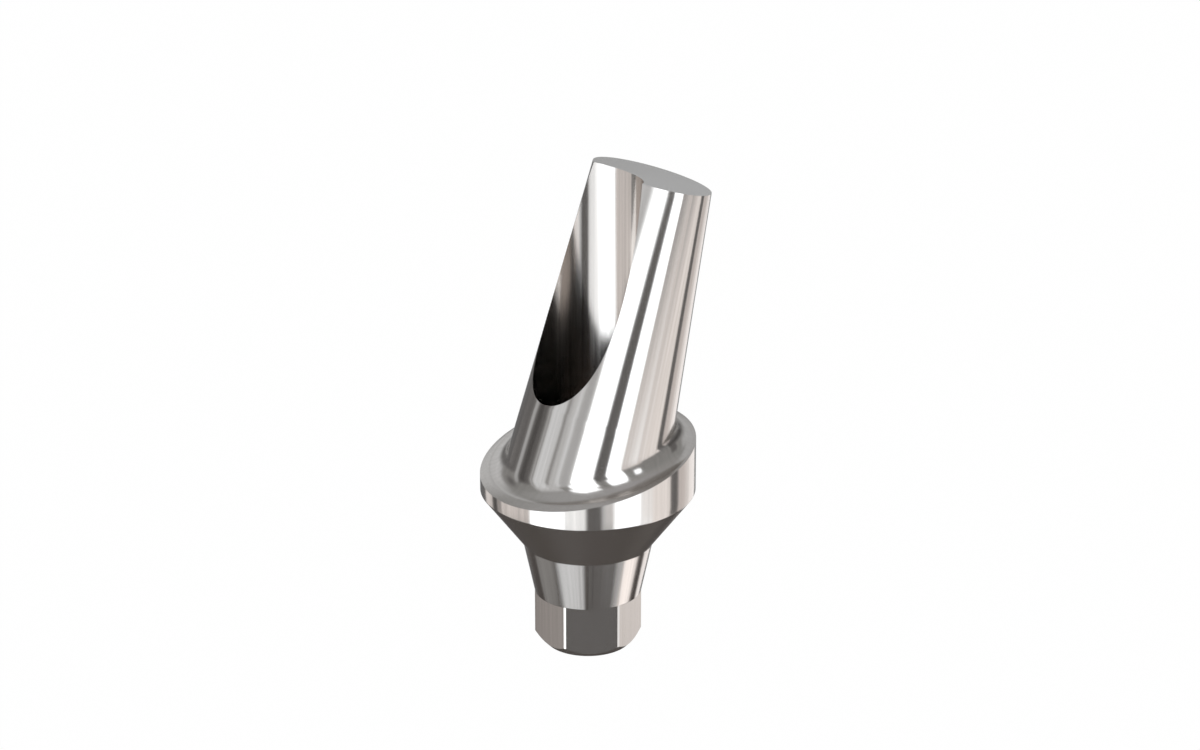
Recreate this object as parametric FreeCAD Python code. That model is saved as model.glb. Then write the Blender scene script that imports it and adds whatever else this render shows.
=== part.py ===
# Angled dental abutment: one solid of titanium alloy, turned and milled from bar.
# Z is the implant axis and points up; the origin is the centre of the implant platform plane,
# where the seating cone begins. The post leans toward +X, square to one pair of hexagon flats.

import FreeCAD, Part
import math
import os
from FreeCAD import Vector

# Driving dimensions, in millimetres and degrees

# Hexagon that keys the abutment in the implant
hex_across_flats = 2.50
hex_length = 1.48
hex_end_chamfer = 0.285

# Seating cone, from the platform down to the hexagon
platform_diameter = 3.46
cone_length = 1.435
cone_half_angle = 12.0

# Flare through the gum, from the platform up to the collar
flare_height = 1.49
collar_diameter = 5.70

# Crown margin: the collar's upper edge lies in a plane that rises toward the lean
margin_height = 1.00
margin_tilt = 11.5
margin_edge_radius = 0.10

# Post that carries the crown: oval, tapered and leaning from the implant axis
post_angle = 15.0
post_start_height = 0.72
post_length = 7.82
post_top_depth = 2.71
post_top_width = 3.84
post_taper_in_depth = 5.0
post_taper_in_width = 2.5
foot_radius_lean_side = 0.34
foot_radius_open_side = 0.65

# Screw channel, coaxial with the implant, and the through bore below its seat
channel_diameter = 2.88
seat_height = 0.40
screw_bore_diameter = 2.05
seat_edge_chamfer = 0.10

# Levels along the implant axis
collar_z = flare_height
margin_z = collar_z + margin_height
post_start_z = collar_z + post_start_height
cone_end_z = -cone_length
hex_end_z = cone_end_z - hex_length
seat_z = seat_height

# Radii that follow from the driving dimensions
platform_radius = platform_diameter / 2
collar_radius = collar_diameter / 2
cone_end_radius = platform_radius - cone_length * math.tan(math.radians(cone_half_angle))
channel_radius = channel_diameter / 2
screw_bore_radius = screw_bore_diameter / 2

# Directions of the post: along its axis, in depth (in the plane of the lean) and in width
lean = math.radians(post_angle)
post_axis = Vector(math.sin(lean), 0, math.cos(lean))
post_depth_way = Vector(math.cos(lean), 0, -math.sin(lean))
post_width_way = Vector(0, 1, 0)
post_start = Vector(0, 0, post_start_z)
post_top_centre = post_start + post_axis * post_length

# The margin plane, and a length that reaches past the whole part when a tool trims it
margin_normal = Vector(-math.sin(math.radians(margin_tilt)), 0, math.cos(math.radians(margin_tilt)))
margin_centre = Vector(0, 0, margin_z)
beyond = 4 * (collar_diameter + post_length)

UP = Vector(0, 0, 1)


def block_above_margin(drop):
    """A large block whose lower face lies in the margin plane, lowered by drop."""
    block = Part.makeBox(beyond, beyond, beyond, Vector(-beyond / 2, -beyond / 2, 0))
    block.rotate(Vector(0, 0, 0), Vector(0, 1, 0), -margin_tilt)
    block.translate(Vector(0, 0, margin_z - drop))
    return block


def cone_and_collar():
    """Seating cone, flare and collar in one turned profile, cut off at the margin plane."""
    tall_z = margin_z + collar_diameter
    profile = Part.makePolygon([
        Vector(0, 0, cone_end_z),
        Vector(cone_end_radius, 0, cone_end_z),
        Vector(platform_radius, 0, 0),
        Vector(collar_radius, 0, collar_z),
        Vector(collar_radius, 0, tall_z),
        Vector(0, 0, tall_z),
        Vector(0, 0, cone_end_z),
    ])
    turned = Part.Face(profile).revolve(Vector(0, 0, 0), UP, 360)
    return turned.cut(block_above_margin(0))


def hexagon_key():
    """Hexagon with flats square to X, its corners turned down to the cone's end and chamfered."""
    corner_radius = hex_across_flats / 2 / math.cos(math.radians(30))
    corners = []
    for number in range(7):
        turn = math.radians(30 + 60 * number)
        corners.append(Vector(corner_radius * math.cos(turn), corner_radius * math.sin(turn), hex_end_z))
    prism = Part.Face(Part.makePolygon(corners)).extrude(Vector(0, 0, hex_length))
    turned = Part.makeCylinder(cone_end_radius, hex_length, Vector(0, 0, hex_end_z))
    lowest = min(turned.Edges, key=lambda edge: edge.CenterOfMass.z)
    return prism.common(turned.makeChamfer(hex_end_chamfer, [lowest]))


def half_depth(distance):
    """Half the post's size in the plane of the lean, at a distance below its top."""
    return post_top_depth / 2 + distance * math.tan(math.radians(post_taper_in_depth))


def half_width(distance):
    """Half the post's size across the plane of the lean, at a distance below its top."""
    return post_top_width / 2 + distance * math.tan(math.radians(post_taper_in_width))


def oval(distance):
    """The post's section at a distance below its top, as two half ellipses that meet in the plane of the lean."""
    centre = post_top_centre - post_axis * distance
    depth = post_depth_way * half_depth(distance)
    width = post_width_way * half_width(distance)
    if width.Length > depth.Length:
        ellipse = Part.Ellipse(centre + width, centre + depth, centre)
    else:
        ellipse = Part.Ellipse(centre + depth, centre - width, centre)
    open_side = ellipse.parameter(centre - depth)
    lean_side = open_side + math.pi
    return Part.Wire([
        Part.ArcOfEllipse(ellipse, open_side, lean_side).toShape(),
        Part.ArcOfEllipse(ellipse, lean_side, lean_side + math.pi).toShape(),
    ])


def post():
    """Oval tapered post, rooted just below the margin plane."""
    lowest_wall = margin_height - collar_radius * math.tan(math.radians(margin_tilt))
    root_depth = lowest_wall / 2
    blank = Part.makeLoft([oval(post_length + collar_radius), oval(0)], True, True)
    return blank.common(block_above_margin(root_depth))


def margin_edges(shape, inside):
    """The edges of shape that lie in the margin plane: at the post's foot, or round the collar."""
    chosen = []
    for edge in shape.Edges:
        ends = [vertex.Point for vertex in edge.Vertexes]
        middle = edge.valueAt((edge.FirstParameter + edge.LastParameter) / 2)
        in_plane = all(abs((point - margin_centre).dot(margin_normal)) < 1e-4 for point in ends + [middle])
        at_wall = math.hypot(middle.x, middle.y) > collar_radius - 1e-3
        if in_plane and at_wall != inside:
            chosen.append(edge)
    return chosen


def ledge_room(side):
    """The width of the margin ledge between the post and the collar wall: +1 lean side, -1 open side."""
    way = post_depth_way * side
    steepness = math.tan(math.radians(post_taper_in_depth))
    above = (post_top_centre + way * half_depth(0) - margin_centre).dot(margin_normal)
    falling = (post_axis - way * steepness).dot(margin_normal)
    distance = above / falling
    foot = post_top_centre - post_axis * distance + way * half_depth(distance)
    return (collar_radius - side * foot.x) / math.cos(math.radians(margin_tilt))


def fillet_reach(radius, corner_angle):
    """How far along each wall a fillet of this radius reaches from a corner of this angle."""
    return radius / math.tan(math.radians(corner_angle / 2))


def foot_radii():
    """The foot fillet's radii on the open side and the lean side, limited by the ledge that they lie on."""
    slope = post_angle + margin_tilt
    axis_to_plane = (margin_centre - post_start).dot(margin_normal) / post_axis.dot(margin_normal)
    side_room = collar_radius - half_width(post_length - axis_to_plane)
    mean_radius = (foot_radius_open_side + foot_radius_lean_side) / 2
    shares = [
        (ledge_room(1), fillet_reach(foot_radius_lean_side, 90 - slope + post_taper_in_depth)),
        (ledge_room(-1), fillet_reach(foot_radius_open_side, 90 + slope + post_taper_in_depth)),
        (side_room, fillet_reach(mean_radius, 90 + post_taper_in_width)),
    ]
    share = min([1] + [(room - margin_edge_radius) / reach for room, reach in shares])
    return foot_radius_open_side * share, foot_radius_lean_side * share


def rounded_margin(shape):
    """Hollow foot fillet, tightest on the side that the post leans to, and a softened collar edge."""
    open_radius, lean_radius = foot_radii()
    foot = min(margin_edges(shape, True), key=lambda edge: edge.Vertexes[0].Point.x)
    footed = shape.makeFillet(open_radius, lean_radius, [foot])
    return footed.makeFillet(margin_edge_radius, margin_edges(footed, False))


def screw_path():
    """The space for the screw: wide channel above the seat, and a through bore with a broken edge."""
    channel = Part.makeCylinder(channel_radius, beyond, Vector(0, 0, seat_z))
    bore = Part.makeCylinder(screw_bore_radius, seat_z - hex_end_z, Vector(0, 0, hex_end_z))
    lead_in = Part.makeCone(
        screw_bore_radius, screw_bore_radius + seat_edge_chamfer, seat_edge_chamfer,
        Vector(0, 0, seat_z - seat_edge_chamfer))
    return channel.fuse(bore).fuse(lead_in)


def abutment_body():
    """The whole abutment as one solid."""
    outside = cone_and_collar().fuse(post()).fuse(hexagon_key()).removeSplitter()
    return rounded_margin(outside).cut(screw_path()).Solids[0]


body = abutment_body()
os.makedirs("parts", exist_ok=True)
body.exportStep("parts/abutment_body.step")

print("abutment_body: valid", body.isValid(), "volume in cubic millimetres", round(body.Volume, 3))
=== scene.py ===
"""Looks of an angled dental abutment: the polished titanium body, its studio and its camera."""

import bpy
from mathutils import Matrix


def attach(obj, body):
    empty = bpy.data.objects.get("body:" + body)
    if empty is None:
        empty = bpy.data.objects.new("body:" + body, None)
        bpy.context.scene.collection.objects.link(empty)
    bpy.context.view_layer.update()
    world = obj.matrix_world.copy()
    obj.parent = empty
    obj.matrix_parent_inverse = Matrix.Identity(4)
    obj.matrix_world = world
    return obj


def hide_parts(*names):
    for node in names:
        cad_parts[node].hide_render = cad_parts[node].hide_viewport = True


bl_info = {
    "name": "Angled dental abutment",
    "version": (1, 0, 0),
    "blender": (4, 5, 0),
    "location": "3D View > Sidebar > Abutment",
    "description": "Polished titanium abutment in a pale photo studio",
    "category": "Object",
}

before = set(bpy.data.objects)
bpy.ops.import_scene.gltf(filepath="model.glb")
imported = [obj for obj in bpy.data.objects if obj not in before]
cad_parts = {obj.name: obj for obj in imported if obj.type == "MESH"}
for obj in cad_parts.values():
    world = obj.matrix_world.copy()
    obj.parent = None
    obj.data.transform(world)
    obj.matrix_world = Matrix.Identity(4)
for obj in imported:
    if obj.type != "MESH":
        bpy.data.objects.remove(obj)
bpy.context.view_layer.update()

import math

import bmesh
import bpy
import numpy as np
from bpy.props import FloatProperty, FloatVectorProperty, PointerProperty
from mathutils import Matrix, Vector

MM = 0.001
BODY_NODE = "abutment_body"

# The margin's outer edge is eased over this many times how far it drops there, along a curve of this power
EASED_SHARE = 3.6
EASED_CURVE = 1.25
# The easing takes no more than this share of the ledge
EASED_LIMIT = 0.9

# How many steps of the mesh lie over each form
CORNER_STEPS = 4
MARGIN_STEPS = 10
FOOT_STEPS = 16
LOWER_WALL_STEPS = 6
TOP_STEPS = 3
LOWER_CHANNEL_STEPS = 6
BORE_STEPS = 8

# The opening's rim: points that the rows meet at, and points that it is measured with
RIM_POINTS = 57
RIM_SAMPLES = 400

# Halvings that find a place on a curve
HALVINGS = 50
# How close two corners of the mesh are welded, in metres, and the angle from which an edge is sharp
WELD_DISTANCE = 2e-8
SHARP_EDGE = math.radians(20)


def linear_colour(hex_code):
    """An sRGB hex colour as three linear values."""
    shown = [int(hex_code[place:place + 2], 16) / 255 for place in (1, 3, 5)]
    return tuple(v / 12.92 if v <= 0.04045 else ((v + 0.055) / 1.055) ** 2.4 for v in shown)


def length(name, description, millimetres):
    """A size in metres that the sidebar shows as a length."""
    return FloatProperty(
        name=name, description=description, default=millimetres * MM,
        unit="LENGTH", subtype="DISTANCE", precision=5, min=0)


def angle(name, description, degrees):
    """An angle that the sidebar shows in degrees."""
    return FloatProperty(
        name=name, description=description, default=math.radians(degrees),
        unit="ROTATION", subtype="ANGLE", precision=2)


def colour(name, description, hex_code):
    """A colour given as sRGB hex and kept as linear values."""
    return FloatVectorProperty(
        name=name, description=description, default=linear_colour(hex_code),
        subtype="COLOR", size=3, min=0, max=1)


class AbutmentSizes(bpy.types.PropertyGroup):
    """Sizes of the abutment, as its solid has them."""
    hex_across_flats: length("Hexagon", "Across the flats of the hexagon key", 2.50)
    hex_length: length("Hexagon length", "From the seating cone to the lower end", 1.48)
    hex_end_chamfer: length("End chamfer", "Chamfer at the hexagon's lower end", 0.285)
    platform_diameter: length("Platform", "Across the seating cone's upper end", 3.46)
    cone_length: length("Cone length", "Height of the seating cone", 1.435)
    cone_half_angle: angle("Cone", "Between the cone's wall and the implant axis", 12.0)
    flare_height: length("Flare", "From the platform up to the collar", 1.49)
    collar_diameter: length("Collar", "Across the collar wall", 5.70)
    margin_height: length("Margin", "Collar wall on the implant axis's level", 1.00)
    margin_tilt: angle("Margin tilt", "Between the margin plane and level", 11.5)
    margin_edge_radius: length("Margin edge", "Radius of the margin's outer edge", 0.10)
    post_angle: angle("Post angle", "Between the post and the implant axis", 15.0)
    post_start_height: length("Post start", "Where the axes cross, above the collar's lower edge", 0.72)
    post_length: length("Post length", "From where the axes cross to the top face", 7.82)
    post_top_depth: length("Top depth", "Across the top in the plane of the lean", 2.71)
    post_top_width: length("Top width", "Across the top, square to the lean", 3.84)
    post_taper_in_depth: angle("Depth taper", "Each side's taper in the plane of the lean", 5.0)
    post_taper_in_width: angle("Width taper", "Each side's taper across the lean", 2.5)
    foot_radius_lean_side: length("Foot, lean side", "Foot fillet under the lean", 0.34)
    foot_radius_open_side: length("Foot, open side", "Foot fillet below the channel's opening", 0.65)
    channel_diameter: length("Channel", "Across the screw channel", 2.88)
    seat_height: length("Seat", "Screw seat above the platform", 0.40)
    screw_bore_diameter: length("Screw bore", "Across the bore below the seat", 2.05)
    seat_edge_chamfer: length("Seat edge", "Lead-in at the screw bore", 0.10)
    edge_break: length("Edge break", "How far each crisp edge is broken", 0.02)


class AbutmentFinish(bpy.types.PropertyGroup):
    """Colours of the metal and of the studio."""
    titanium: colour("Titanium", "Polished titanium, a warm grey", "#CBC5C0")
    titanium_floors: colour("Line floors", "Titanium in the floors of the tool lines", "#C6C0BB")
    paper: colour("Floor", "Plain pale floor", "#F4F4F4")


class StudioSet(bpy.types.PropertyGroup):
    """Sizes of the light dome and the floor, and how bright the softboxes are."""
    dome_radius: length("Dome", "Radius of the light dome round the abutment", 150)
    dome_height: length("Dome centre", "The dome's centre above the platform", 3.5)
    floor_drop: length("Floor drop", "From the dome's lowest point down to the floor", 5)
    floor_radius: length("Floor radius", "Radius of the round floor", 20000)
    softbox_power: FloatProperty(
        name="Softboxes", description="How much brighter than a white card the softboxes are",
        default=1.5, min=0)


class StudioView(bpy.types.PropertyGroup):
    """Where the camera stands."""
    turn: angle("Turn", "From the front toward the open side", 34.61)
    elevation: angle("Elevation", "Above the horizon", 21.55)
    distance: length("Distance", "From the collar's lower edge to the camera", 93.60)
    aside: length("Aside", "Camera to the right of the collar", 0.3199)
    above: length("Above", "Camera above its line to the collar", 2.9657)
    lens: FloatProperty(name="Lens", description="Focal length in millimetres", default=106.14, min=10)


def column_angles(sizes):
    """Angles of the mesh's columns: a degree apart and at the hexagon's corners, from the open side round."""
    even = np.radians(np.arange(-180, 181))
    half_flat = math.acos(sizes.hex_across_flats / 2 / cone_end_radius(sizes))
    corners = [math.radians(60 * flat) + side * half_flat for flat in range(-3, 4) for side in (-1, 1)]
    return np.unique(np.clip(np.concatenate([even, corners]), -math.pi, math.pi))


def cone_end_radius(sizes):
    """Radius of the seating cone at its lower end."""
    return sizes.platform_diameter / 2 - sizes.cone_length * math.tan(sizes.cone_half_angle)


def post_frame(sizes):
    """The post's axis, its depth direction and the point where it crosses the implant axis."""
    lean = sizes.post_angle
    axis = np.array([math.sin(lean), 0, math.cos(lean)])
    depth_way = np.array([math.cos(lean), 0, -math.sin(lean)])
    start = np.array([0, 0, sizes.flare_height + sizes.post_start_height])
    return axis, depth_way, start


def margin_frame(sizes):
    """The margin plane's normal and its centre on the implant axis."""
    tilt = sizes.margin_tilt
    normal = np.array([-math.sin(tilt), 0, math.cos(tilt)])
    return normal, np.array([0, 0, sizes.flare_height + sizes.margin_height])


def post_wall(sizes, angles, below_top):
    """Points and outward normals on the post's wall, by angle and distance below the top."""
    axis, depth_way, start = post_frame(sizes)
    width_way = np.array([0, 1, 0])
    depth_slope = math.tan(sizes.post_taper_in_depth)
    width_slope = math.tan(sizes.post_taper_in_width)
    below_top = np.broadcast_to(below_top, angles.shape)
    depth = sizes.post_top_depth / 2 + below_top * depth_slope
    width = sizes.post_top_width / 2 + below_top * width_slope
    cos, sin = np.cos(angles), np.sin(angles)
    points = (start + np.outer(sizes.post_length - below_top, axis)
              + np.outer(depth * cos, depth_way) + np.outer(width * sin, width_way))
    round_way = np.outer(-depth * sin, depth_way) + np.outer(width * cos, width_way)
    up_way = axis - np.outer(depth_slope * cos, depth_way) - np.outer(width_slope * sin, width_way)
    normals = np.cross(round_way, up_way)
    return points, normals / np.linalg.norm(normals, axis=1)[:, None]


def bisect(low, high, is_low):
    """The place between low and high where is_low turns false, for each column."""
    for _ in range(HALVINGS):
        middle = (low + high) / 2
        lower = is_low(middle)
        low, high = np.where(lower, middle, low), np.where(lower, high, middle)
    return (low + high) / 2


def opening_rim(sizes, count):
    """Post angle and distance below the top along one side of the channel's opening, from its foot up."""
    def in_channel(angles, below_top):
        points, _ = post_wall(sizes, angles, below_top)
        return np.hypot(points[:, 0], points[:, 1]) < sizes.channel_diameter / 2

    open_side = np.array([math.pi])
    whole_post = np.array([sizes.post_length])
    lowest = bisect(np.zeros(1), whole_post, lambda below_top: in_channel(open_side, below_top))

    def rim_angle(below_top):
        beside, behind = np.full(below_top.shape, math.pi / 2), np.full(below_top.shape, math.pi)
        found = bisect(beside, behind, lambda angles: ~in_channel(angles, below_top))
        return np.where(below_top < lowest, found, math.pi)

    fine = lowest * (1 - np.linspace(0, 1, RIM_SAMPLES) ** 2)
    points, _ = post_wall(sizes, rim_angle(fine), fine)
    travelled = np.concatenate([[0], np.cumsum(np.linalg.norm(np.diff(points, axis=0), axis=1))])
    below_top = np.interp(np.linspace(0, travelled[-1], count), travelled, fine)
    return rim_angle(below_top), below_top


def turned_ring(angles, radius, height):
    """A ring of points round the implant axis."""
    radius = np.broadcast_to(radius, angles.shape)
    height = np.broadcast_to(height, angles.shape)
    return np.column_stack([radius * np.cos(angles), radius * np.sin(angles), height])


def broken_corners(profile, edge_break):
    """A turned profile with each inner corner rounded by a small amount."""
    smooth = [profile[0]]
    for before, corner, after in zip(profile, profile[1:], profile[2:]):
        corner, before, after = (np.array(p) for p in (corner, before, after))
        start = corner + (before - corner) * edge_break / np.linalg.norm(before - corner)
        end = corner + (after - corner) * edge_break / np.linalg.norm(after - corner)
        for step in range(CORNER_STEPS + 1):
            share = step / CORNER_STEPS
            smooth.append(tuple(
                (1 - share) ** 2 * start + 2 * share * (1 - share) * corner + share ** 2 * end))
    smooth.append(profile[-1])
    return smooth


def arc_between(first, last, share):
    """Unit vectors part of the way round from first to last."""
    turn = np.arccos(np.clip(np.sum(first * last, axis=1), -1, 1))
    weights = np.sin((1 - share) * turn) / np.sin(turn), np.sin(share * turn) / np.sin(turn)
    return first * weights[0][:, None] + last * weights[1][:, None]


def turned_rows(sizes, angles):
    """Rows of points up the hexagon and the seating cone, and then up the flare and the collar's wall."""
    end_z = -sizes.cone_length - sizes.hex_length
    end_radius = cone_end_radius(sizes) - sizes.hex_end_chamfer
    nearest_flat = np.round(angles / math.radians(60)) * math.radians(60)
    outline = np.minimum(sizes.hex_across_flats / 2 / np.cos(angles - nearest_flat), cone_end_radius(sizes))
    key = [turned_ring(angles, end_radius, end_z)]
    chamfer_top = end_z + outline - end_radius
    for height in (chamfer_top, -sizes.cone_length - sizes.hex_length / 2, -sizes.cone_length):
        key.append(turned_ring(angles, outline, height))

    profile = broken_corners([
        (cone_end_radius(sizes) - sizes.edge_break, -sizes.cone_length),
        (cone_end_radius(sizes), -sizes.cone_length),
        (sizes.platform_diameter / 2, 0),
        (sizes.collar_diameter / 2, sizes.flare_height),
        (sizes.collar_diameter / 2, sizes.flare_height + sizes.margin_height / 4),
    ], sizes.edge_break)
    collar = []
    for radius, height in profile[1:]:
        ring = turned_ring(angles, np.maximum(radius, outline), height)
        (key if height <= 0 else collar).append(ring)
    return key, collar


def margin_rows(sizes, angles, ledge_edge):
    """Rows over the margin's eased outer edge, from the collar's wall to the flat ledge inside it."""
    normal, centre = margin_frame(sizes)
    wall_radius = sizes.collar_diameter / 2
    ledge_width = wall_radius - np.hypot(ledge_edge[:, 0], ledge_edge[:, 1])
    eased_width = np.minimum(sizes.margin_edge_radius * EASED_SHARE, EASED_LIMIT * ledge_width)
    rows = []
    for share in np.linspace(0, 1, MARGIN_STEPS + 1):
        row = turned_ring(angles, wall_radius - eased_width * share, 0)
        row[:, 2] = (centre[2] - row[:, 0] * normal[0] / normal[2]
                     - eased_width / EASED_SHARE * (1 - share) ** EASED_CURVE)
        rows.append(row)
    return rows


def foot_rows(sizes, angles):
    """Rows of the hollow fillet from the ledge to the post's wall, and how far below the top they end."""
    normal, centre = margin_frame(sizes)
    highest = np.full(angles.shape, sizes.post_length / 2)
    lowest = np.full(angles.shape, sizes.post_length + sizes.collar_diameter / 2)

    def foot_at(radius):
        def above_plane(below_top):
            points, normals = post_wall(sizes, angles, below_top)
            return (points + normals * radius[:, None] - centre) @ normal > radius
        return bisect(highest, lowest, above_plane)

    edge, _ = post_wall(sizes, angles, foot_at(np.zeros(angles.shape)))
    steps = np.linalg.norm(np.roll(edge, -1, axis=0) - edge, axis=1)
    travelled = np.concatenate([[0], np.cumsum(steps)])
    half_way = travelled[-1] / 2
    from_open_side = 1 - np.abs(travelled[:-1] - half_way) / half_way
    radius = (sizes.foot_radius_open_side
              + (sizes.foot_radius_lean_side - sizes.foot_radius_open_side) * from_open_side)

    below_top = foot_at(radius)
    points, normals = post_wall(sizes, angles, below_top)
    ball = points + normals * radius[:, None]
    down = np.broadcast_to(-normal, normals.shape)
    rows = []
    for step in range(FOOT_STEPS + 1):
        rows.append(ball + arc_between(down, -normals, step / FOOT_STEPS) * radius[:, None])
    return rows, below_top


def upper_rows(sizes, angles, foot_end):
    """Rows up the post's wall, over the top face, and down the channel to its seat.

    Beside the opening each row stops at the rim on both sides, where the wall's rows and the channel's meet.
    """
    axis, _, start = post_frame(sizes)
    channel_radius = sizes.channel_diameter / 2
    rim_angle, rim_depth = opening_rim(sizes, RIM_POINTS)
    rim, _ = post_wall(sizes, rim_angle, rim_depth)
    rim_azimuth = np.abs(np.arctan2(rim[:, 1], rim[:, 0]))
    share = angles / math.pi

    wall = []
    for step in range(1, LOWER_WALL_STEPS + 1):
        below_top = foot_end + (rim_depth[0] - foot_end) * step / LOWER_WALL_STEPS
        wall.append(post_wall(sizes, angles, below_top)[0])
    for turn, below_top in zip(rim_angle[1:], rim_depth[1:]):
        wall.append(post_wall(sizes, share * turn, below_top)[0])

    def top_height(azimuth):
        level = axis @ (start + axis * sizes.post_length)
        return (level - channel_radius * np.cos(azimuth) * axis[0]) / axis[2]

    channel = []
    rim_foot, rim_end = rim[0, 2], rim[-1, 2]
    for azimuth, height in zip(rim_azimuth[::-1], rim[::-1, 2]):
        lift = (height - rim_foot) / (rim_end - rim_foot)
        rise = lift * (top_height(share * azimuth) - top_height(azimuth))
        channel.append(turned_ring(share * azimuth, channel_radius, height + rise))
    for step in range(1, LOWER_CHANNEL_STEPS + 1):
        height = rim_foot + (sizes.seat_height - rim_foot) * step / LOWER_CHANNEL_STEPS
        channel.append(turned_ring(angles, channel_radius, height))

    top = [wall[-1] + (channel[0] - wall[-1]) * step / TOP_STEPS for step in range(TOP_STEPS)]
    return wall[:-1], top, channel


def bore_rows(sizes, angles):
    """Rows over the screw seat and down the bore to the lower end."""
    bore_radius = sizes.screw_bore_diameter / 2
    end_z = -sizes.cone_length - sizes.hex_length
    chamfer = sizes.seat_edge_chamfer
    rows = [turned_ring(angles, bore_radius + chamfer, sizes.seat_height)]
    lead_in_z = sizes.seat_height - chamfer
    for step in range(BORE_STEPS + 1):
        rows.append(turned_ring(angles, bore_radius, lead_in_z + (end_z - lead_in_z) * step / BORE_STEPS))
    return rows


def mesh_from_bands(name, bands):
    """A closed smooth mesh of bands of rows, each with its material's place. The last row joins the first."""
    rows = [row for band, _ in bands for row in band]
    finishes = [finish for band, finish in bands for _ in band]
    count = len(rows[0])
    faces = []
    for row in range(len(rows)):
        base, above = row * count, (row + 1) % len(rows) * count
        for column in range(count - 1):
            faces.append((base + column, base + column + 1, above + column + 1, above + column))
    mesh = bpy.data.meshes.new(name)
    mesh.from_pydata(np.concatenate(rows).tolist(), [], faces)
    mesh.polygons.foreach_set("material_index", np.repeat(finishes, count - 1))
    shape = bmesh.new()
    shape.from_mesh(mesh)
    bmesh.ops.remove_doubles(shape, verts=shape.verts, dist=WELD_DISTANCE)
    bmesh.ops.dissolve_degenerate(shape, edges=shape.edges, dist=WELD_DISTANCE)
    bmesh.ops.recalc_face_normals(shape, faces=shape.faces)
    shape.to_mesh(mesh)
    shape.free()
    mesh.shade_smooth()
    mesh.set_sharp_from_angle(angle=SHARP_EDGE)
    return mesh


def add_node(material, kind, settings=None, inputs=None, links=None):
    """Adds a shader node, sets its fields and inputs, and links other outputs into it."""
    node = material.node_tree.nodes.new(kind)
    for field, value in (settings or {}).items():
        setattr(node, field, value)
    for socket, value in (inputs or {}).items():
        node.inputs[socket].default_value = value
    for socket, output in (links or {}).items():
        material.node_tree.links.new(output, node.inputs[socket])
    return node


# Shades of the studio's cards, flags and cloth: the colour that polished titanium shows where it reflects one
CARD_SHADES = {
    "white": "#F0EEEC",
    "peach": "#FDF2EB",
    "pale": "#E0D7D1",
    "cream": "#CBC2BC",
    "sand": "#BDB3AD",
    "silver": "#C6C5C4",
    "light grey": "#B2B0AE",
    "mid grey": "#A09E9C",
    "grey": "#918F8D",
    "taupe": "#9A928D",
    "dull": "#7C7976",
    "dark": "#5B5856",
    "black": "#454240",
}

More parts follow.
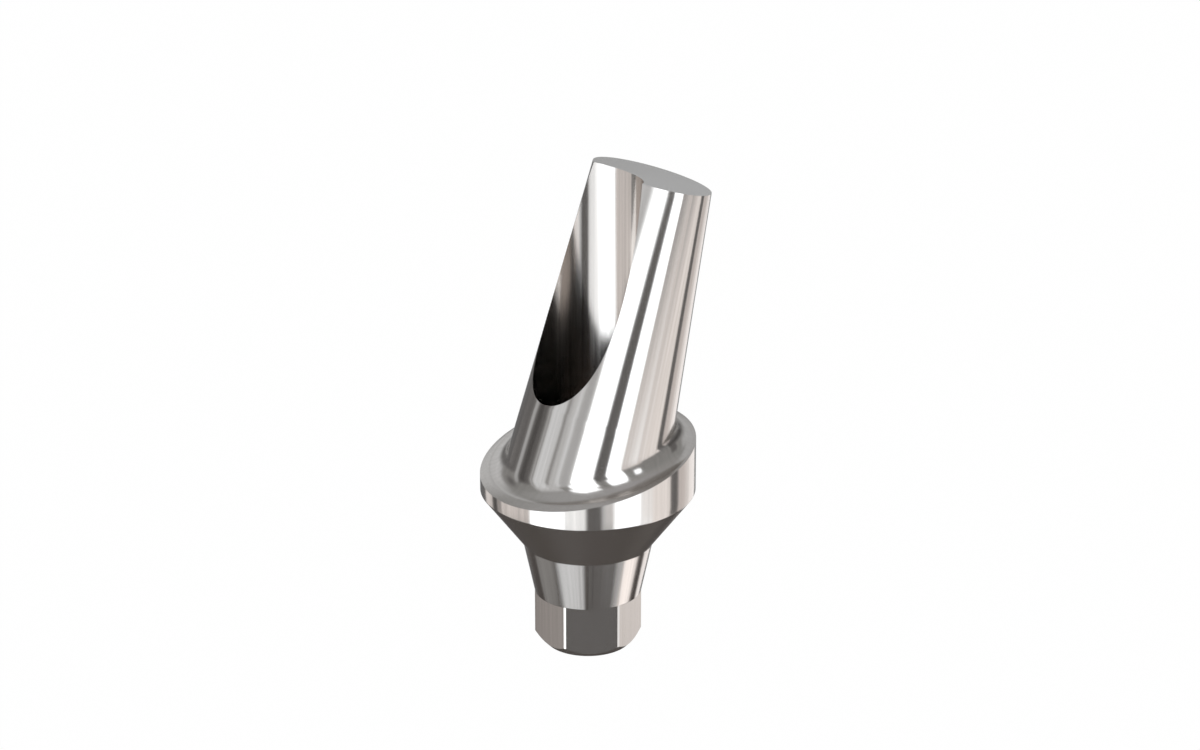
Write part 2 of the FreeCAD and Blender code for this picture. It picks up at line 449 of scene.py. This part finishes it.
# Panels of the light dome: name, azimuth from and to, elevation from and to, card or softbox, soft edge.
# All are in degrees, and the soft edge is twice as wide up and down.
# Azimuth 0 lies straight behind the abutment as the camera sees it, and 90 to its right.
# Later panels lie over earlier ones.
DOME_PANELS = (
    ("upper left wall", -132, -24, 48, 82, "grey", 9),
    ("near left wall", -147, -91, -4, 44, "light grey", 4),
    ("left wall corner", -143, -133.5, -4, 36, "mid grey", 3),
    ("left wall strip", -132, -127, -6, 24, "silver", 3),
    ("left wall joint", -118.5, -114.5, -4, 18, "dull", 3),
    ("left card", -112.5, -96, -2, 34, "silver", 2),
    ("left card edge", -94.5, -92.5, -4, 30, "dull", 1.5),
    ("shade beside left softbox", -138, -127, 28, 50, "dull", 3),
    ("left softbox", -175.5, -147, -8, 38, "softbox", 2),
    ("left softbox foot", -164, -148, -20, -6, "softbox", 3),
    ("left softbox shoulder", -173.5, -141, 22, 48, "softbox", 2),
    ("left softbox top", -165.5, -132, 44, 66, "softbox", 3),
    ("right softbox", 147.3, 168.5, -11, 60, "softbox", 2),
    ("right softbox side", 149, 171, 8, 62, "softbox", 2),
    ("right softbox shoulder", 150, 173.5, 24, 60, "softbox", 2),
    ("right strip light", 126, 135, 17, 42, "softbox", 3),
    ("front slot", 169, 183, -10, 22, "dark", 1.5),
    ("upper front slot", 173, 186, 22, 62, "dull", 3),
    ("back left shade", -62, -38, -2, 38, "dull", 6),
    ("back left flag", -60, -48, 20, 34, "dark", 6),
    ("back left panel", -38, -10, 10, 37, "light grey", 6),
    ("back right panel", -8, 36, 19, 38, "mid grey", 7),
    ("back wall", -8, 22, 32, 50, "mid grey", 7),
    ("back panel", -9, 9, -9, 7, "mid grey", 2),
    ("back right flag", 14, 65, -16, 10, "dark", 5),
    ("back right flag core", 23, 67, -6, 6, "black", 4),
    ("right flag", 52, 67, 3, 32, "dark", 5),
    ("left flag shade", -88.5, -69, -5, 25, "dark", 4),
    ("left flag", -81, -73.5, -5, 20, "black", 6),
    ("left flag edge", -68.7, -62.5, -8, 25, "mid grey", 3),
    ("low back flag", -61, -18, -19, 4, "dark", 5),
    ("low front left", -178.2, -157, -40, -13, "white", 7),
    ("low left window side", -155.5, -140, -42, -13, "softbox", 8),
    ("low left window", -151, -115, -43, -13, "softbox", 2),
    ("low left window end", -120.5, -112, -21.5, -12, "cream", 2),
    ("low left wall", -115, -75, -30, -13, "cream", 3),
    ("low left shade", -74, -67.5, -31, -13, "taupe", 2),
    ("left wall end", -76.5, -66, -21, -11, "dull", 2),
    ("low left flag", -66.5, -60, -29, -13, "black", 3),
    ("low back left", -57.5, -40, -29, -13, "cream", 4),
    ("low back left flag", -39, -14, -31, -14, "dark", 5),
    ("low back", -12, 9, -30, -14, "grey", 4),
    ("low back shade", 9, 22, -30, -14, "dull", 3),
    ("low back right", 23, 46, -38, -17.5, "pale", 2),
    ("low right wall", 46, 67.5, -31, -17, "cream", 3),
    ("low right corner", 53.5, 68, -31, -15.5, "sand", 5),
    ("low right flag", 69.5, 79.5, -31, -14, "dark", 3),
    ("low right panel", 82, 122, -34, -11.5, "pale", 2),
    ("low right panel side", 106, 121, -34, -23.5, "white", 3),
    ("low right card", 118, 148, -17, -5, "cream", 3),
    ("low right window", 121.5, 153, -35, -17.5, "softbox", 7),
    ("low front right", 153.5, 165, -34, -14, "light grey", 6),
    ("right softbox foot", 150, 162, -21, -9, "pale", 4),
    ("low front flag", 167, 179.5, -62, -9, "dark", 5),
    ("floor left panel", -170, -112.5, -66, -42, "silver", 14),
    ("floor front", 113, 168, -66, -42, "dark", 8),
    ("floor left wall", -104, -58, -52, -34, "dull", 7),
    ("floor right window", 65, 104.5, -56, -35, "peach", 8),
    ("floor right card", 99, 117, -56, -38, "mid grey", 8),
)
# The dome's own cloth from straight down to straight up
DOME_SHADES = (
    (-90, "#504B48"), (-60, "#48433F"), (-36, "#46413E"), (-24, "#5C5855"),
    (-12, "#72706E"), (12, "#7E7B78"), (42, "#7F7D7A"), (60, "#898683"), (90, "#949190"))
# Folds in the cards' cloth: how many go round the dome, where they start in degrees, and how strong they are
CLOTH_FOLDS = ((151, 0, 0.02), (97, 40, 0.03), (61, 75, 0.035), (37, 110, 0.03), (23, 20, 0.02))
# The folds are stronger by these gains at these elevations, with an even change in between
FOLD_ELEVATIONS, FOLD_GAINS = (-60, -30), (3, 1)
# Faces of the dome's mesh, round and up
DOME_COLUMNS = 720
DOME_ROWS = 180


def soft_step(values, low, high, edge):
    """1 between low and high, 0 outside, with each edge blurred by the given width."""
    rise = np.clip((values - low) / edge + 0.5, 0, 1)
    fall = np.clip((high - values) / edge + 0.5, 0, 1)
    return rise * rise * (3 - 2 * rise) * fall * fall * (3 - 2 * fall)


def dome_light(azimuth, elevation, finish, softbox_power):
    """Light that comes from each direction of the dome, in degrees of azimuth and elevation."""
    levels = np.array([level for level, _ in DOME_SHADES], float)
    shades = np.array([linear_colour(shade) for _, shade in DOME_SHADES])
    light = np.column_stack([np.interp(elevation, levels, shades[:, part]) for part in range(3)])
    for _, left, right, low, high, card, edge in DOME_PANELS:
        turned = (azimuth - (left + right) / 2 + 180) % 360 - 180
        share = soft_step(turned, (left - right) / 2, (right - left) / 2, edge)
        share = (share * soft_step(elevation, low, high, 2 * edge))[:, None]
        panel = np.full(3, softbox_power) if card == "softbox" else np.array(linear_colour(CARD_SHADES[card]))
        light = light + (panel - light) * share
    folds = sum(depth * np.sin(np.radians(count * azimuth + start)) for count, start, depth in CLOTH_FOLDS)
    folds = folds * np.interp(elevation, FOLD_ELEVATIONS, FOLD_GAINS)
    return light * (1 + folds[:, None]) / np.array(finish.titanium)


def light_dome(settings, view, finish):
    """A dome of soft panels round the abutment that only its polished metal sees."""
    azimuth, elevation = np.meshgrid(
        np.linspace(-180, 180, DOME_COLUMNS, endpoint=False), np.linspace(-90, 90, DOME_ROWS + 1))
    azimuth, elevation = azimuth.ravel(), elevation.ravel()
    turn, rise = np.radians(azimuth), np.radians(elevation)
    right, away, _ = camera_ways(view)
    ways = (np.outer(np.sin(turn) * np.cos(rise), right) + np.outer(np.cos(turn) * np.cos(rise), away)
            + np.outer(np.sin(rise), (0, 0, 1)))
    points = ways * settings.dome_radius + np.array([0, 0, settings.dome_height])
    faces = []
    for row in range(DOME_ROWS):
        base, above = row * DOME_COLUMNS, (row + 1) * DOME_COLUMNS
        for column in range(DOME_COLUMNS):
            beside = (column + 1) % DOME_COLUMNS
            faces.append((base + column, base + beside, above + beside, above + column))
    mesh = bpy.data.meshes.new("light_dome")
    mesh.from_pydata(points.tolist(), [], faces)
    light = dome_light(azimuth, elevation, finish, settings.softbox_power)
    shades = mesh.color_attributes.new("panel_light", "FLOAT_COLOR", "POINT")
    shades.data.foreach_set("color", np.column_stack([light, np.ones(len(light))]).ravel())

    material = bpy.data.materials.new("dome_panels")
    material.use_nodes = True
    material.node_tree.nodes.clear()
    material.cycles.emission_sampling = "NONE"
    panels = add_node(material, "ShaderNodeVertexColor", {"layer_name": "panel_light"})
    glow = add_node(material, "ShaderNodeEmission", links={"Color": panels.outputs["Color"]})
    add_node(material, "ShaderNodeOutputMaterial", links={"Surface": glow.outputs["Emission"]})
    mesh.materials.append(material)

    dome = bpy.data.objects.new("light_dome", mesh)
    bpy.context.scene.collection.objects.link(dome)
    dome.visible_camera = False
    dome.visible_diffuse = False
    dome.visible_shadow = False


# How much of the floor's look is plain white; the rest is paper, which takes the shadow
FLOOR_WHITE = 0.97
# Sides of the round floor
FLOOR_SIDES = 64


def pale_floor(settings, finish):
    """A plain pale floor that shows white and keeps a little of the shadow on it."""
    material = bpy.data.materials.new("pale_paper")
    material.use_nodes = True
    material.node_tree.nodes.clear()
    paper = add_node(material, "ShaderNodeBsdfDiffuse", inputs={"Color": (*finish.paper, 1)})
    white = add_node(material, "ShaderNodeEmission", inputs={"Color": (1, 1, 1, 1), "Strength": 1})
    share = seen_as_background(material, FLOOR_WHITE)
    mixed = add_node(material, "ShaderNodeMixShader", links={
        0: share, 1: paper.outputs["BSDF"], 2: white.outputs["Emission"]})
    add_node(material, "ShaderNodeOutputMaterial", links={"Surface": mixed.outputs["Shader"]})

    level = settings.dome_height - settings.dome_radius - settings.floor_drop
    shape = bmesh.new()
    bmesh.ops.create_circle(shape, cap_ends=True, segments=FLOOR_SIDES, radius=settings.floor_radius)
    mesh = bpy.data.meshes.new("pale_floor")
    shape.to_mesh(mesh)
    shape.free()
    mesh.materials.append(material)
    floor = bpy.data.objects.new("pale_floor", mesh)
    floor.location = (0, 0, level)
    bpy.context.scene.collection.objects.link(floor)


def seen_as_background(material, share):
    """A value that is share for camera, glossy and transmitted rays, and 0 for the rest."""
    path = add_node(material, "ShaderNodeLightPath")
    seen = add_node(material, "ShaderNodeMath", {"operation": "MAXIMUM"}, links={
        0: path.outputs["Is Camera Ray"], 1: path.outputs["Is Glossy Ray"]})
    either = add_node(material, "ShaderNodeMath", {"operation": "MAXIMUM"}, links={
        0: seen.outputs["Value"], 1: path.outputs["Is Transmission Ray"]})
    scaled = add_node(material, "ShaderNodeMath", {"operation": "MULTIPLY"}, {1: share}, {
        0: either.outputs["Value"]})
    return scaled.outputs["Value"]


def camera_ways(view):
    """Directions to the camera's right, away from it along the floor, and along its line of sight."""
    right = Vector((math.cos(view.turn), -math.sin(view.turn), 0))
    away = Vector((math.sin(view.turn), math.cos(view.turn), 0))
    sight = away * math.cos(view.elevation) - Vector((0, 0, math.sin(view.elevation)))
    return right, away, sight


# Radius in millimetres at which the lines round the axis are counted: about that of the post
COUNTED_RADIUS = 1.9
# Height in the noise of the lines' floors and ridges, for their tone and for their roughness
TONE_HEIGHTS = (0.3, 0.6)
HAZE_HEIGHTS = (0.3, 0.7)
# Detail of that noise, and how strong the detail is
LINE_DETAIL = 3
LINE_ROUGHNESS = 0.6
# Turns the stretch of a reflection from across the tangent to along the axis
QUARTER_TURN = 0.25


def machined_titanium(name, finish, lean, lines_round, lines_along, grain, roughness, depth):
    """Bare titanium alloy with fine tool lines.

    The line counts are per millimetre, round the leaning axis and along it. The grain is how far the lines
    stretch a reflection along the axis, from 0 to 1. The roughness gives the range between the lines' ridges
    and their floors, and the depth is in metres.
    """
    material = bpy.data.materials.new(name)
    material.use_nodes = True
    shader = material.node_tree.nodes["Principled BSDF"]
    shader.inputs["Metallic"].default_value = 1
    shader.inputs["Anisotropic"].default_value = grain
    shader.inputs["Anisotropic Rotation"].default_value = QUARTER_TURN

    place = add_node(material, "ShaderNodeTexCoord")
    upright = add_node(material, "ShaderNodeMapping", {"vector_type": "POINT"}, {
        "Rotation": (0, -lean, 0), "Scale": (1 / MM, 1 / MM, 1 / MM)}, {"Vector": place.outputs["Object"]})
    level = add_node(material, "ShaderNodeVectorMath", {"operation": "MULTIPLY"}, {
        1: (1, 1, 0)}, {0: upright.outputs["Vector"]})
    outward = add_node(material, "ShaderNodeVectorMath", {"operation": "NORMALIZE"}, links={
        0: level.outputs["Vector"]})
    height = add_node(material, "ShaderNodeVectorMath", {"operation": "MULTIPLY"}, {
        1: (0, 0, lines_along)}, {0: upright.outputs["Vector"]})
    spread = add_node(material, "ShaderNodeVectorMath", {"operation": "MULTIPLY_ADD"}, {
        1: (lines_round * COUNTED_RADIUS,) * 3}, {
        0: outward.outputs["Vector"], 2: height.outputs["Vector"]})
    lines = add_node(material, "ShaderNodeTexNoise", inputs={
        "Scale": 1, "Detail": LINE_DETAIL, "Roughness": LINE_ROUGHNESS}, links={
        "Vector": spread.outputs["Vector"]})

    tone = add_node(material, "ShaderNodeValToRGB", links={"Fac": lines.outputs["Fac"]})
    floors, ridges = tone.color_ramp.elements
    floors.position, ridges.position = TONE_HEIGHTS
    floors.color = (*finish.titanium_floors, 1)
    ridges.color = (*finish.titanium, 1)
    haze = add_node(material, "ShaderNodeMapRange", inputs={
        "From Min": HAZE_HEIGHTS[0], "From Max": HAZE_HEIGHTS[1],
        "To Min": roughness[1], "To Max": roughness[0]}, links={"Value": lines.outputs["Fac"]})
    grooves = add_node(material, "ShaderNodeBump", inputs={"Strength": 1, "Distance": depth}, links={
        "Height": lines.outputs["Fac"]})
    round_axis = add_node(material, "ShaderNodeTangent", {"direction_type": "RADIAL", "axis": "Z"})
    for socket, output in (
            ("Base Color", tone.outputs["Color"]), ("Roughness", haze.outputs["Result"]),
            ("Normal", grooves.outputs["Normal"]), ("Tangent", round_axis.outputs["Tangent"])):
        material.node_tree.links.new(output, shader.inputs[socket])
    return material


def polished_titanium(finish, post_angle):
    """Titanium alloy, milled lengthwise and then polished: a warm grey mirror with lines up the post."""
    # Polishing lines are under 0.01 mm apart; they are drawn at about 0.08 mm, so that they show.
    return machined_titanium(
        "polished_titanium", finish, lean=post_angle, lines_round=12, lines_along=0.15, grain=0.9,
        roughness=(0.12, 0.17), depth=4e-9)


def burnished_titanium(finish):
    """Titanium alloy, turned and then polished upward: a warm grey mirror with faint upright lines."""
    # Polishing lines are under 0.01 mm apart; they are drawn at about 0.08 mm, so that they show.
    return machined_titanium(
        "burnished_titanium", finish, lean=0, lines_round=12, lines_along=0.15, grain=0.9,
        roughness=(0.12, 0.17), depth=4e-9)


def faced_titanium(finish, post_angle):
    """Titanium alloy, faced with an end mill: an even satin grey with close, crossing marks."""
    # The cutter's marks are about 0.05 mm apart and are drawn at that size.
    return machined_titanium(
        "faced_titanium", finish, lean=post_angle, lines_round=20, lines_along=20, grain=0.3,
        roughness=(0.24, 0.26), depth=1e-9)


def honed_titanium(finish):
    """Titanium alloy, bored and then honed lengthwise: a softer mirror with lines along the channel."""
    # Honing lines are about 0.01 mm apart; they are drawn at about 0.1 mm, so that they show.
    return machined_titanium(
        "honed_titanium", finish, lean=0, lines_round=10, lines_along=0.1, grain=0.9,
        roughness=(0.12, 0.18), depth=6e-9)


class OBJECT_OT_abutment_body(bpy.types.Operator):
    """Build the abutment's body in polished titanium"""
    bl_idname = "object.abutment_body"
    bl_label = "Abutment body"

    def execute(self, context):
        sizes = context.scene.abutment_sizes
        angles = column_angles(sizes)
        key, collar = turned_rows(sizes, angles)
        foot, foot_end = foot_rows(sizes, angles)
        wall, top, channel = upper_rows(sizes, angles, foot_end)
        burnished, polished, faced, honed = range(4)
        mesh = mesh_from_bands("titanium_abutment", [
            (key + collar, burnished),
            (margin_rows(sizes, angles, foot[0]), faced),
            (foot + wall, polished),
            (top, faced),
            (channel + bore_rows(sizes, angles), honed),
        ])
        body = bpy.data.objects.new("titanium_abutment", mesh)
        context.scene.collection.objects.link(body)
        finish = context.scene.abutment_finish
        for material in (
                burnished_titanium(finish), polished_titanium(finish, sizes.post_angle),
                faced_titanium(finish, sizes.post_angle), honed_titanium(finish)):
            body.data.materials.append(material)
        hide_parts(BODY_NODE)
        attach(body, "root")
        return {"FINISHED"}


# Width of the camera's sensor in millimetres, and how near and how far it sees, in metres
SENSOR_WIDTH_MM = 36
SEEN_RANGE = (0.001, 100)


class OBJECT_OT_abutment_studio(bpy.types.Operator):
    """Build the pale floor, the light and the camera"""
    bl_idname = "object.abutment_studio"
    bl_label = "Studio"

    def execute(self, context):
        scene = context.scene
        view = scene.abutment_view
        scene.view_settings.view_transform = "Standard"

        world = bpy.data.worlds.new("studio_world")
        world.use_nodes = True
        world.node_tree.nodes["Background"].inputs["Color"].default_value = (1, 1, 1, 1)
        scene.world = world
        light_dome(scene.abutment_studio, view, scene.abutment_finish)
        pale_floor(scene.abutment_studio, scene.abutment_finish)

        right, _, sight = camera_ways(view)
        up = right.cross(sight)
        collar = Vector((0, 0, scene.abutment_sizes.flare_height))
        place = collar + right * view.aside + up * view.above - sight * view.distance
        lens = bpy.data.cameras.new("studio_camera")
        lens.sensor_width = SENSOR_WIDTH_MM
        lens.lens = view.lens
        lens.clip_start, lens.clip_end = SEEN_RANGE
        camera = bpy.data.objects.new("studio_camera", lens)
        scene.collection.objects.link(camera)
        camera.matrix_world = Matrix.Translation(place) @ Matrix((right, up, -sight)).transposed().to_4x4()
        scene.camera = camera
        return {"FINISHED"}


class VIEW3D_PT_abutment(bpy.types.Panel):
    """Sidebar panel with the abutment's pieces, sizes and colours"""
    bl_idname = "VIEW3D_PT_abutment"
    bl_label = "Dental abutment"
    bl_space_type = "VIEW_3D"
    bl_region_type = "UI"
    bl_category = "Abutment"

    def draw(self, context):
        layout = self.layout
        for operator in (OBJECT_OT_abutment_body, OBJECT_OT_abutment_studio):
            layout.operator(operator.bl_idname)
        scene = context.scene
        for group in (
                scene.abutment_sizes, scene.abutment_finish, scene.abutment_studio, scene.abutment_view):
            box = layout.box()
            for name in group.__annotations__:
                box.prop(group, name)


CLASSES = (
    AbutmentSizes,
    AbutmentFinish,
    StudioSet,
    StudioView,
    OBJECT_OT_abutment_body,
    OBJECT_OT_abutment_studio,
    VIEW3D_PT_abutment,
)


def register():
    """Register the classes and hang their settings on the scene."""
    for each in CLASSES:
        bpy.utils.register_class(each)
    bpy.types.Scene.abutment_sizes = PointerProperty(type=AbutmentSizes)
    bpy.types.Scene.abutment_finish = PointerProperty(type=AbutmentFinish)
    bpy.types.Scene.abutment_studio = PointerProperty(type=StudioSet)
    bpy.types.Scene.abutment_view = PointerProperty(type=StudioView)


def unregister():
    """Take the settings and the classes away again, last one first."""
    del bpy.types.Scene.abutment_view
    del bpy.types.Scene.abutment_studio
    del bpy.types.Scene.abutment_finish
    del bpy.types.Scene.abutment_sizes
    for each in reversed(CLASSES):
        bpy.utils.unregister_class(each)


def main():
    """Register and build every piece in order."""
    register()
    bpy.ops.object.abutment_body()
    bpy.ops.object.abutment_studio()


if __name__ == "__main__":
    main()
